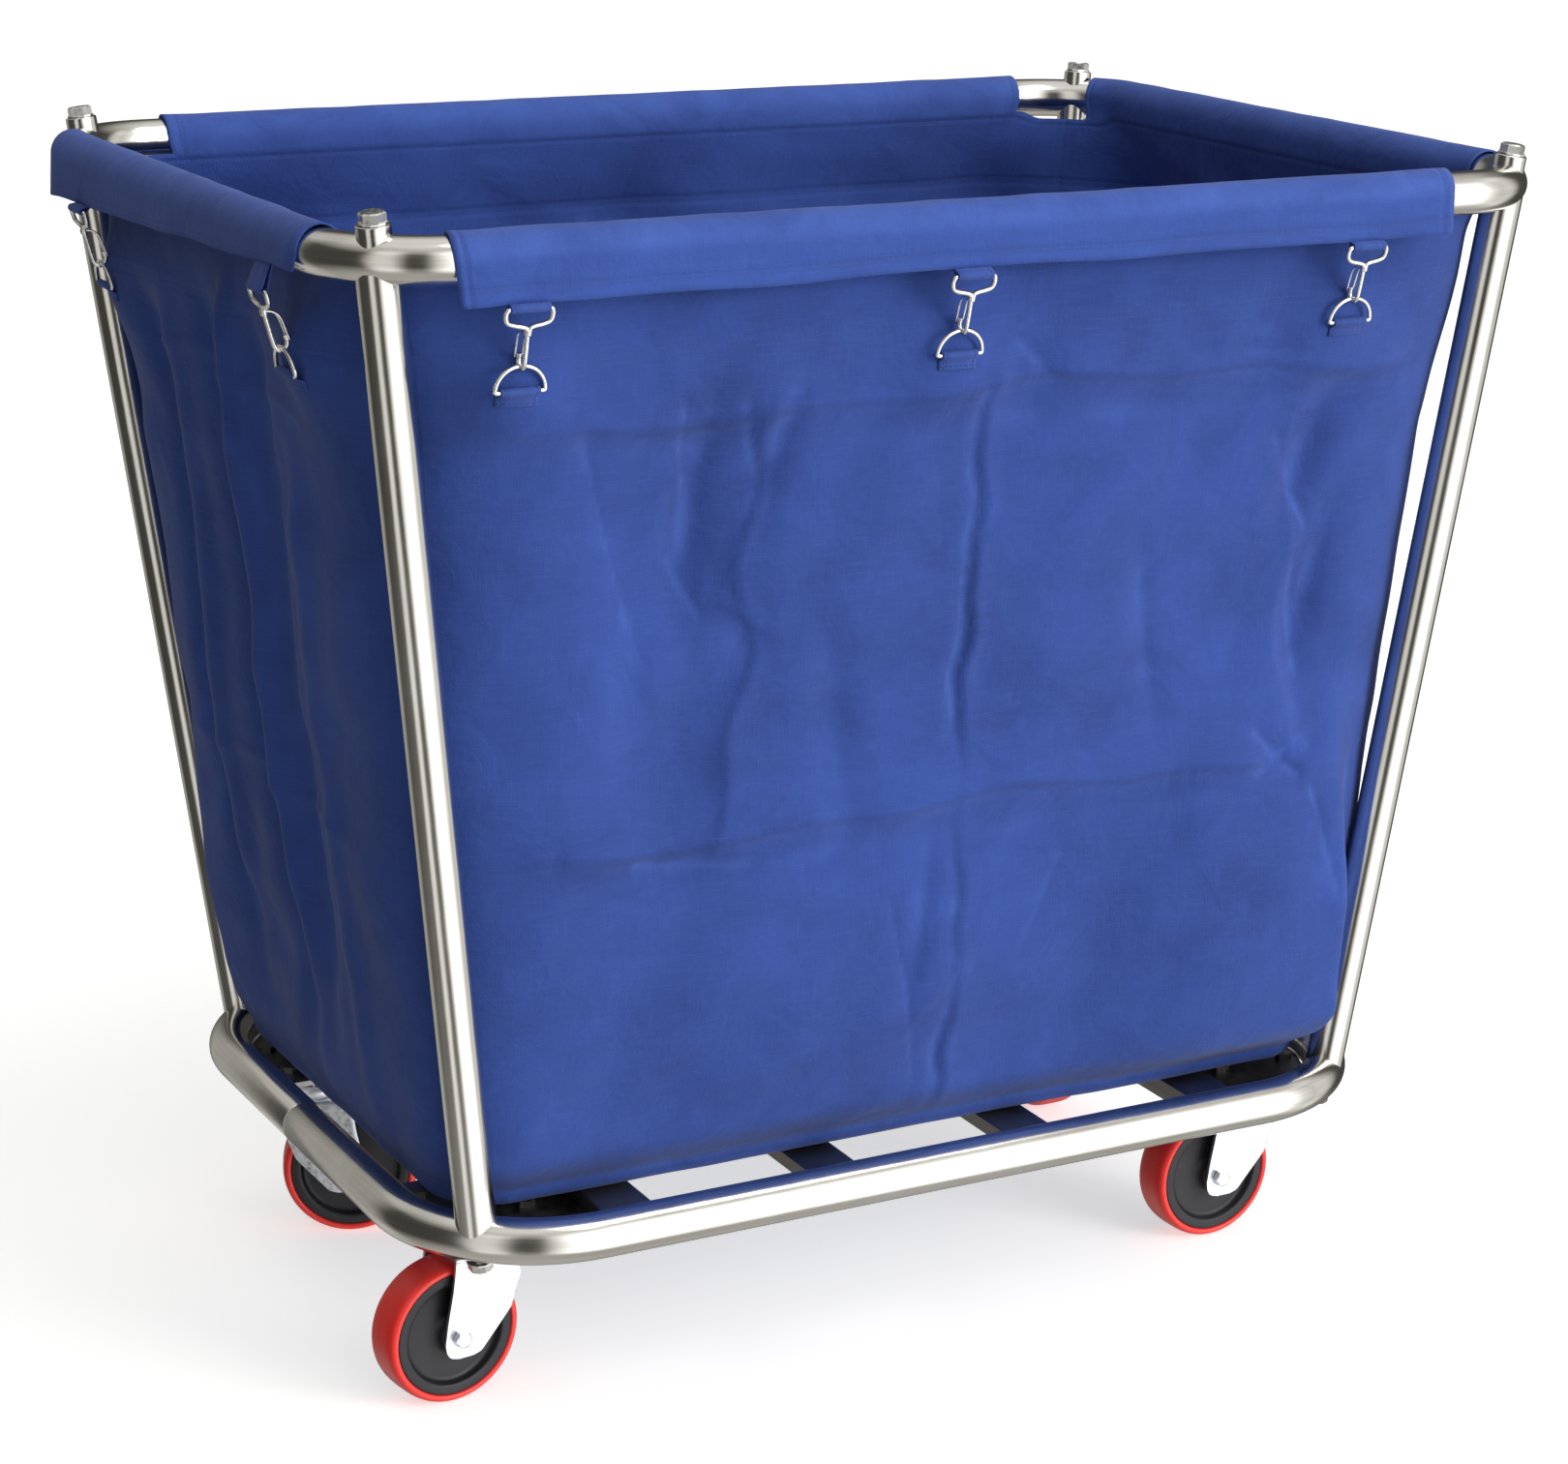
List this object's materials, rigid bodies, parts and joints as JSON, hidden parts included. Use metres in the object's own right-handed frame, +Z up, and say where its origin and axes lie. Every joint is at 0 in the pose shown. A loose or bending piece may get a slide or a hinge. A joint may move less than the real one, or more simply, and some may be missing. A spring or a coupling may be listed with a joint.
{
  "type": "laundry cart",
  "caption": "Hotel linen cart: blue canvas bag folded over a flared stainless tube ring and clipped down, on a base ring with swivel casters.",
  "frame": {"origin": "floor level under the middle of the cart", "axes": "+Z up, +X along the cart to its right end, the front long side faces -Y"},
  "size_m": [0.924, 0.656, 0.8417],
  "materials": {
    "stainless": "polished stainless tube, fine lengthwise brushing",
    "dull_stainless": "plain mill finish",
    "zinc_caster": "pale blue zinc plate on pressed steel",
    "plated_fastener": "bright plated hex bolt",
    "nickel_wire": "bright nickel plated wire",
    "canvas": "woven blue oxford canvas",
    "wheel_hub": "black moulded nylon",
    "wheel_tread": "red polyurethane"
  },
  "bodies": {
    "cart_frame": {"base_bolt_front_left": "plated_fastener", "base_bolt_front_right": "plated_fastener", "base_bolt_rear_left": "plated_fastener", "base_bolt_rear_right": "plated_fastener", "base_ring_front": "stainless", "base_ring_rear": "stainless", "base_ring_sleeve_left": "dull_stainless", "base_ring_sleeve_right": "dull_stainless", "caster_front_left_top_plate": "zinc_caster", "caster_front_right_top_plate": "zinc_caster", "caster_rear_left_top_plate": "zinc_caster", "caster_rear_right_top_plate": "zinc_caster", "crossbar_left_end": "dull_stainless", "crossbar_left_middle": "dull_stainless", "crossbar_right_end": "dull_stainless", "crossbar_right_middle": "dull_stainless", "laundry_bag": "canvas", "mounting_plate_front_left": "dull_stainless", "mounting_plate_front_right": "dull_stainless", "mounting_plate_rear_left": "dull_stainless", "mounting_plate_rear_right": "dull_stainless", "post_front_left": "stainless", "post_front_right": "stainless", "post_rear_left": "stainless", "post_rear_right": "stainless", "top_bolt_front_left": "plated_fastener", "top_bolt_front_right": "plated_fastener", "top_bolt_rear_left": "plated_fastener", "top_bolt_rear_right": "plated_fastener", "top_ring_front": "stainless", "top_ring_rear": "stainless", "top_ring_sleeve_left": "dull_stainless", "top_ring_sleeve_right": "dull_stainless"},
    "caster_front_left_swivel": {"caster_front_left_fork": "zinc_caster", "caster_front_left_axle_bolt": "zinc_caster"},
    "caster_front_left_wheel": {"caster_front_left_hub": "wheel_hub", "caster_front_left_tread": "wheel_tread"},
    "caster_front_right_swivel": {"caster_front_right_fork": "zinc_caster", "caster_front_right_axle_bolt": "zinc_caster"},
    "caster_front_right_wheel": {"caster_front_right_hub": "wheel_hub", "caster_front_right_tread": "wheel_tread"},
    "caster_rear_left_swivel": {"caster_rear_left_fork": "zinc_caster", "caster_rear_left_axle_bolt": "zinc_caster"},
    "caster_rear_left_wheel": {"caster_rear_left_hub": "wheel_hub", "caster_rear_left_tread": "wheel_tread"},
    "caster_rear_right_swivel": {"caster_rear_right_fork": "zinc_caster", "caster_rear_right_axle_bolt": "zinc_caster"},
    "caster_rear_right_wheel": {"caster_rear_right_hub": "wheel_hub", "caster_rear_right_tread": "wheel_tread"},
    "snap_hook_front_left": {"snap_hook_front_left": "nickel_wire"},
    "snap_hook_front_centre": {"snap_hook_front_centre": "nickel_wire"},
    "snap_hook_front_right": {"snap_hook_front_right": "nickel_wire"},
    "snap_hook_rear_right": {"snap_hook_rear_right": "nickel_wire"},
    "snap_hook_rear_centre": {"snap_hook_rear_centre": "nickel_wire"},
    "snap_hook_rear_left": {"snap_hook_rear_left": "nickel_wire"},
    "snap_hook_left_front": {"snap_hook_left_front": "nickel_wire"},
    "snap_hook_left_rear": {"snap_hook_left_rear": "nickel_wire"},
    "snap_hook_right_rear": {"snap_hook_right_rear": "nickel_wire"},
    "snap_hook_right_front": {"snap_hook_right_front": "nickel_wire"}
  },
  "joints": [
    {"name": "caster_front_left_swivel_turn", "type": "hinge", "parent": "cart_frame", "child": "caster_front_left_swivel", "pos_m": [-0.314, -0.155, 0.12], "axis": [0, 0, 1], "continuous": true},
    {"name": "caster_front_left_wheel_spin", "type": "hinge", "parent": "caster_front_left_swivel", "child": "caster_front_left_wheel", "pos_m": [-0.33876, -0.15848, 0.051], "axis": [0.1392, -0.9903, 0], "continuous": true},
    {"name": "caster_front_right_swivel_turn", "type": "hinge", "parent": "cart_frame", "child": "caster_front_right_swivel", "pos_m": [0.314, -0.155, 0.12], "axis": [0, 0, 1], "continuous": true},
    {"name": "caster_front_right_wheel_spin", "type": "hinge", "parent": "caster_front_right_swivel", "child": "caster_front_right_wheel", "pos_m": [0.28902, -0.15587, 0.051], "axis": [0.0349, -0.9994, 0], "continuous": true},
    {"name": "caster_rear_left_swivel_turn", "type": "hinge", "parent": "cart_frame", "child": "caster_rear_left_swivel", "pos_m": [-0.314, 0.155, 0.12], "axis": [0, 0, 1], "continuous": true},
    {"name": "caster_rear_left_wheel_spin", "type": "hinge", "parent": "caster_rear_left_swivel", "child": "caster_rear_left_wheel", "pos_m": [-0.29066, 0.14604, 0.051], "axis": [0.3584, 0.9336, 0], "continuous": true},
    {"name": "caster_rear_right_swivel_turn", "type": "hinge", "parent": "cart_frame", "child": "caster_rear_right_swivel", "pos_m": [0.314, 0.155, 0.12], "axis": [0, 0, 1], "continuous": true},
    {"name": "caster_rear_right_wheel_spin", "type": "hinge", "parent": "caster_rear_right_swivel", "child": "caster_rear_right_wheel", "pos_m": [0.314, 0.13, 0.051], "axis": [1, 0, 0], "continuous": true},
    {"name": "snap_hook_front_left_swing", "type": "hinge", "parent": "cart_frame", "child": "snap_hook_front_left", "pos_m": [-0.338, -0.3265, 0.784], "axis": [-1, 0, 0], "range_deg": [0, 110]},
    {"name": "snap_hook_front_centre_swing", "type": "hinge", "parent": "cart_frame", "child": "snap_hook_front_centre", "pos_m": [-0.032, -0.3265, 0.784], "axis": [-1, 0, 0], "range_deg": [0, 110]},
    {"name": "snap_hook_front_right_swing", "type": "hinge", "parent": "cart_frame", "child": "snap_hook_front_right", "pos_m": [0.273, -0.3265, 0.784], "axis": [-1, 0, 0], "range_deg": [0, 110]},
    {"name": "snap_hook_rear_right_swing", "type": "hinge", "parent": "cart_frame", "child": "snap_hook_rear_right", "pos_m": [0.338, 0.3265, 0.784], "axis": [1, 0, 0], "range_deg": [0, 110]},
    {"name": "snap_hook_rear_centre_swing", "type": "hinge", "parent": "cart_frame", "child": "snap_hook_rear_centre", "pos_m": [0.032, 0.3265, 0.784], "axis": [1, 0, 0], "range_deg": [0, 110]},
    {"name": "snap_hook_rear_left_swing", "type": "hinge", "parent": "cart_frame", "child": "snap_hook_rear_left", "pos_m": [-0.273, 0.3265, 0.784], "axis": [1, 0, 0], "range_deg": [0, 110]},
    {"name": "snap_hook_left_front_swing", "type": "hinge", "parent": "cart_frame", "child": "snap_hook_left_front", "pos_m": [-0.4605, -0.192, 0.784], "axis": [0, 1, 0], "range_deg": [0, 110]},
    {"name": "snap_hook_left_rear_swing", "type": "hinge", "parent": "cart_frame", "child": "snap_hook_left_rear", "pos_m": [-0.4605, 0.172, 0.784], "axis": [0, 1, 0], "range_deg": [0, 110]},
    {"name": "snap_hook_right_rear_swing", "type": "hinge", "parent": "cart_frame", "child": "snap_hook_right_rear", "pos_m": [0.4605, 0.192, 0.784], "axis": [0, -1, 0], "range_deg": [0, 110]},
    {"name": "snap_hook_right_front_swing", "type": "hinge", "parent": "cart_frame", "child": "snap_hook_right_front", "pos_m": [0.4605, -0.172, 0.784], "axis": [0, -1, 0], "range_deg": [0, 110]}
  ]
}
